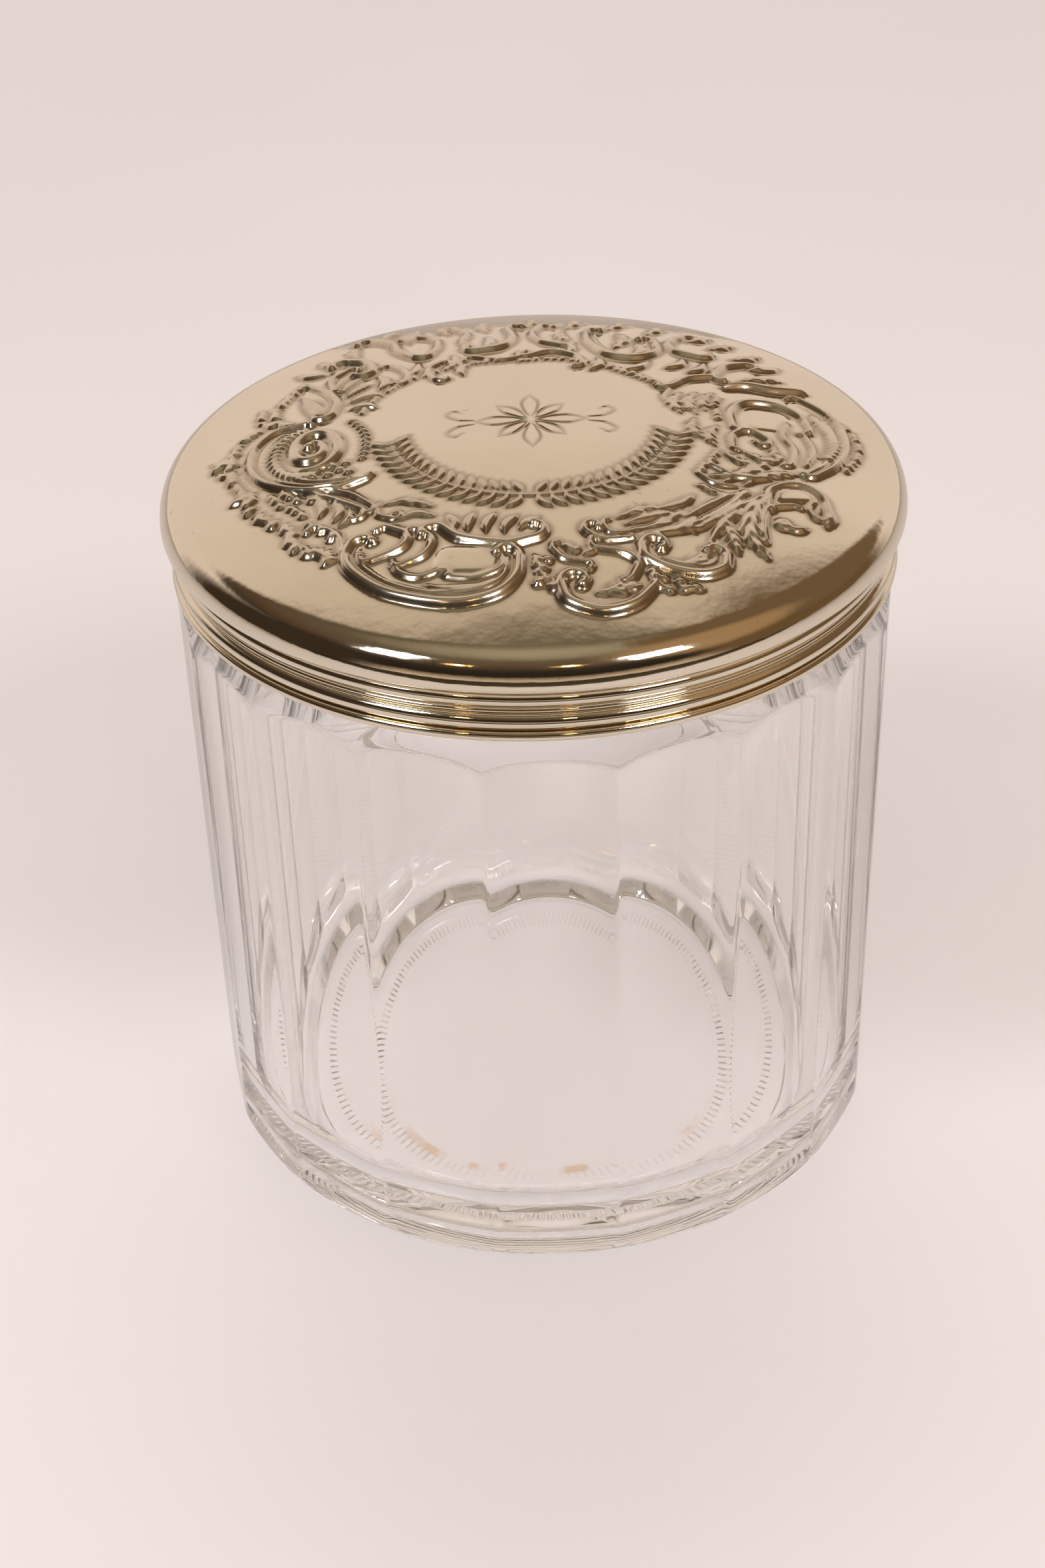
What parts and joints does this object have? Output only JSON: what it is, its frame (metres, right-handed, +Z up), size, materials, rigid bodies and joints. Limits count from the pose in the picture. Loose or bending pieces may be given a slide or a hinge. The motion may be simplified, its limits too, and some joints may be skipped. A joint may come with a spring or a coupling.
{
  "type": "cigar jar",
  "caption": "Thick clear glass jar with flat upright panels and a slip-on domed metal lid, struck with shell and leaf scrolls, with a damp pad inside the lid.",
  "frame": {"origin": "centre of the foot ring, on the surface the jar stands on", "axes": "+Z up through the middle of the lid, -Y out of the middle of one flat panel"},
  "size_m": [0.14, 0.14, 0.149],
  "materials": {
    "clear_glass": "clear pressed glass, fire polished",
    "silver_plate": "polished silver plate, warm and lightly tarnished",
    "inner_plate": "plain silver plate, dulled",
    "cork": "pressed cork",
    "felt": "thick felt"
  },
  "bodies": {
    "jar": {"glass_jar": "clear_glass"},
    "lid": {"lid_dome": "silver_plate", "lid_skirt": "silver_plate", "lid_rim_wire": "silver_plate", "lid_liner": "inner_plate", "lid_seal": "cork", "moistener_cup": "inner_plate", "moistener_pad": "felt", "moistener_grille": "inner_plate"}
  },
  "joints": [
    {"name": "lid_lift", "type": "slide", "parent": "jar", "child": "lid", "axis": [0, 0, 1], "range_m": [0, 0.08]}
  ]
}
